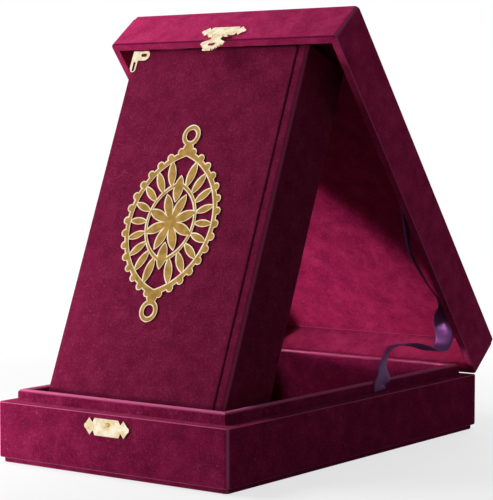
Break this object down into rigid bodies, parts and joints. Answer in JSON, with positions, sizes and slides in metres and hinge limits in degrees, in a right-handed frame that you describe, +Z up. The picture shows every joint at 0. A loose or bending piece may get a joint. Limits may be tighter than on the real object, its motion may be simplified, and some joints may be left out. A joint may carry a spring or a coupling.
{
  "type": "book box",
  "caption": "Velvet-covered book box with a hinged lid, clasp and ribbon stay, open with its velvet-bound book leaning in the tray and carrying the lid.",
  "frame": {"origin": "middle of the underside of the bottom board, on the table", "axes": "+Z up, the front with the clasp looks towards -Y, the lid's hinge runs along X at the back"},
  "size_m": [0.17, 0.2996, 0.2679],
  "materials": {
    "velvet": "matte",
    "velvet_board": "matte",
    "lining": "matte",
    "lining_board": "matte",
    "timber": "matte",
    "gold": "satin",
    "satin": "satin",
    "leaves": "matte",
    "woven_band": "matte"
  },
  "bodies": {
    "base": {"bottom_board": "velvet_board", "base_front_board": "timber", "base_back_board": "timber", "base_left_board": "timber", "base_right_board": "timber", "base_cover": "velvet", "lip_front": "lining_board", "lip_back": "lining_board", "lip_left": "lining_board", "lip_right": "lining_board", "floor_pad": "lining", "strike_plate": "gold", "strike_knob": "gold", "strike_nails": "gold", "hinge_base_leaf_left": "gold", "hinge_base_leaf_right": "gold", "hinge_pin_left": "gold", "hinge_pin_right": "gold", "hinge_base_nails": "gold", "ribbon_stay": "satin"},
    "lid": {"lid_front_board": "timber", "lid_back_board": "timber", "lid_left_board": "timber", "lid_right_board": "timber", "lid_cover": "velvet", "lid_top_panel": "velvet_board", "lid_pad": "lining", "clasp_plate": "gold", "clasp_nails": "gold", "hasp_pin": "gold", "hinge_lid_leaf_left": "gold", "hinge_lid_leaf_right": "gold", "hinge_lid_nails": "gold"},
    "hasp": {"hasp": "gold"},
    "book": {"book_front_cover": "velvet_board", "book_back_cover": "velvet_board", "book_spine": "velvet_board", "page_block": "leaves", "head_band": "woven_band", "tail_band": "woven_band", "guard_front_top": "gold", "guard_front_bottom": "gold", "guard_back_top": "gold", "guard_back_bottom": "gold", "cover_emblem": "gold"}
  },
  "joints": [
    {"name": "lid_hinge", "type": "hinge", "parent": "base", "child": "lid", "pos_m": [0, 0.1357, 0.03615], "axis": [-1, 0, 0], "range_deg": [0, 58], "deforming": ["ribbon_stay"]},
    {"name": "hasp_hinge", "type": "hinge", "parent": "lid", "child": "hasp", "pos_m": [0, -0.03154, 0.25208], "axis": [-1, 0, 0], "range_deg": [0, 150]},
    {"name": "book_tilt", "type": "hinge", "parent": "base", "child": "book", "pos_m": [0, -0.0792, 0.0065], "axis": [-1, 0, 0], "range_deg": [0, 56.5]}
  ],
  "couplings": [
    {"joint": "book_tilt", "follows": "lid_hinge", "ratio": 0.97}
  ]
}
